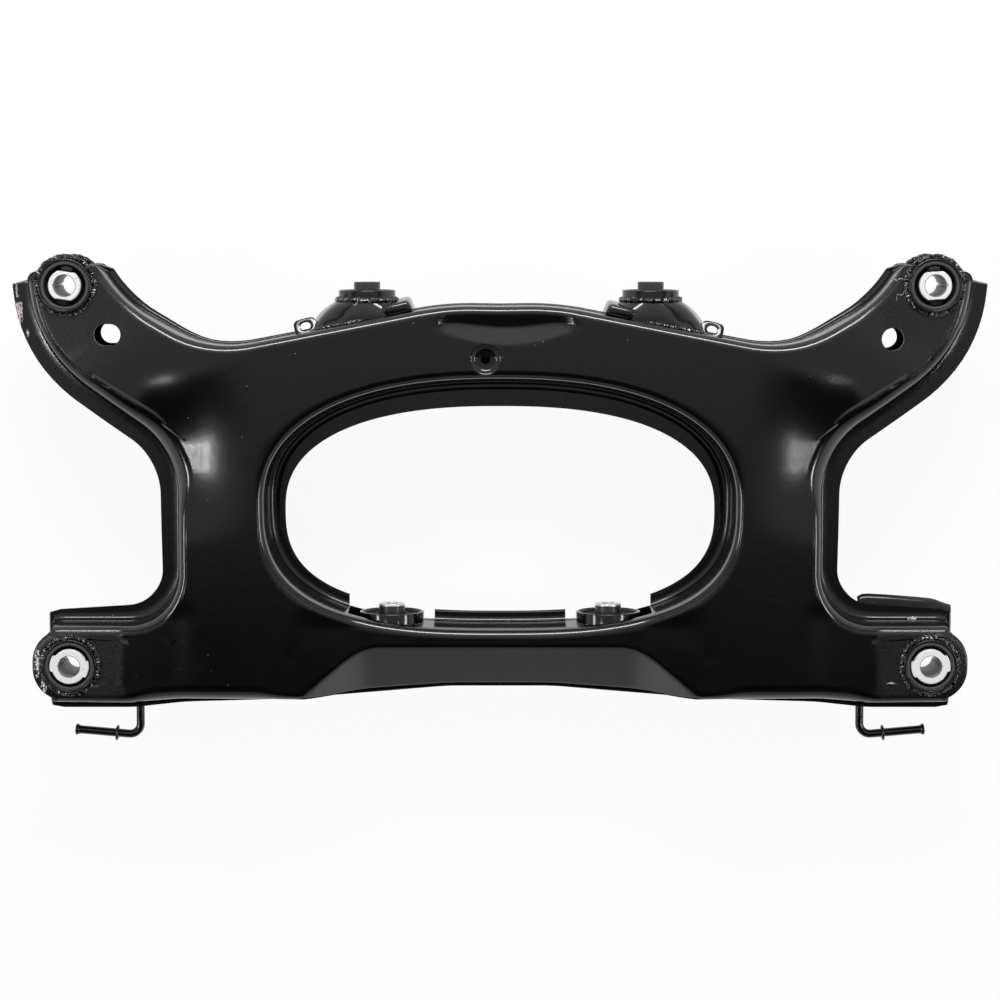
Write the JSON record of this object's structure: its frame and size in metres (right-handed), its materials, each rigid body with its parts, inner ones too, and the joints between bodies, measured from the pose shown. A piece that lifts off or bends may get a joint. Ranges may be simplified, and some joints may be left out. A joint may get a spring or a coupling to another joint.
{
  "type": "suspension subframe",
  "caption": "Pressed-steel rear suspension subframe with an oval final-drive opening, corner body-mount bushes, drive-unit bushes, link brackets and exhaust hangers.",
  "frame": {"origin": "middle of the four body-mount bores at the parting plane of the two pressings", "axes": "+Z along the body-mount bores towards the large pressed face, +Y towards the horn end, +X to the right seen from above"},
  "size_m": [1.1002, 0.5539, 0.164],
  "materials": {
    "black_paint": "gloss",
    "bush_ring": "satin",
    "bush_rubber": "matte",
    "core_alloy": "satin",
    "sleeve_steel": "satin"
  },
  "bodies": {
    "root": {"upper_shell": "black_paint", "lower_shell": "black_paint", "body_housing_front_left": "black_paint", "body_housing_front_right": "black_paint", "body_housing_rear_left": "black_paint", "body_housing_rear_right": "black_paint", "body_ring_front_left": "bush_ring", "body_ring_front_right": "bush_ring", "body_ring_rear_left": "bush_ring", "body_ring_rear_right": "bush_ring", "body_rubber_front_left": "bush_rubber", "body_rubber_front_right": "bush_rubber", "body_rubber_rear_left": "bush_rubber", "body_rubber_rear_right": "bush_rubber", "body_core_front_left": "core_alloy", "body_core_front_right": "core_alloy", "body_core_rear_left": "core_alloy", "body_core_rear_right": "core_alloy", "diff_housing_front_left": "black_paint", "diff_housing_front_right": "black_paint", "diff_housing_rear_left": "black_paint", "diff_housing_rear_right": "black_paint", "diff_ring_front_left": "bush_ring", "diff_ring_front_right": "bush_ring", "diff_ring_rear_left": "bush_ring", "diff_ring_rear_right": "bush_ring", "diff_rubber_front_left": "bush_rubber", "diff_rubber_front_right": "bush_rubber", "diff_rubber_rear_left": "bush_rubber", "diff_rubber_rear_right": "bush_rubber", "diff_core_front_left": "sleeve_steel", "diff_core_front_right": "sleeve_steel", "diff_core_rear_left": "sleeve_steel", "diff_core_rear_right": "sleeve_steel", "saddle_left": "black_paint", "saddle_right": "black_paint", "hanger_left": "black_paint", "hanger_right": "black_paint", "link_bracket_front_left": "black_paint", "link_bracket_front_right": "black_paint", "link_bracket_rear_left": "black_paint", "link_bracket_rear_right": "black_paint", "link_nuts": "black_paint"}
  },
  "joints": []
}
